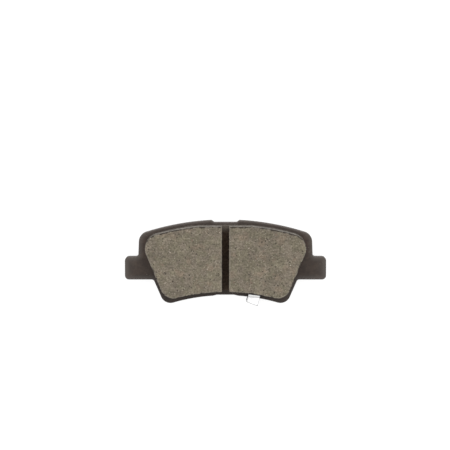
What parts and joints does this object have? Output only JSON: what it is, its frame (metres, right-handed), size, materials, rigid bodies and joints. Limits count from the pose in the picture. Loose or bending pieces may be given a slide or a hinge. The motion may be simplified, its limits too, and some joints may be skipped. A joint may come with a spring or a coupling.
{
  "type": "disc brake pad",
  "caption": "Inner rear disc brake pad: eared steel backing plate, slotted friction block on an underlayer, laminated noise shim and a riveted wear indicator strip hooked round the lower edge.",
  "frame": {"origin": "on the outer back face of the noise shim, on the piston's axis: half-way between the ends of the ears and near half-way up the backing plate", "axes": "+X along the pad, to the right seen from the disc; +Y radially outward from the disc's axle; +Z out of the friction face, towards the disc. The pad lies on its back."},
  "size_m": [0.0998, 0.0428, 0.0162],
  "materials": {
    "coated_steel": "satin powder coat, dark brown",
    "bonding_film": "cured adhesive film",
    "underlayer": "moulded, matte, dark brown",
    "friction": "ground face with fine grain, matte",
    "shim_adhesive": "pressure adhesive",
    "shim_steel": "cold rolled sheet",
    "shim_rubber": "thin matte coating",
    "plated_steel": "bright zinc plated",
    "rivet_steel": "zinc plated"
  },
  "bodies": {
    "root": {"backing_plate": "coated_steel", "bonding_adhesive": "bonding_film", "underlayer": "underlayer", "friction_segment_left": "friction", "friction_segment_right": "friction", "shim_adhesive": "shim_adhesive", "shim_inner_steel": "shim_steel", "shim_damping_core": "shim_rubber", "shim_outer_steel": "shim_steel", "shim_outer_coating": "shim_rubber", "wear_indicator": "plated_steel", "wear_indicator_rivet": "rivet_steel"}
  },
  "joints": []
}
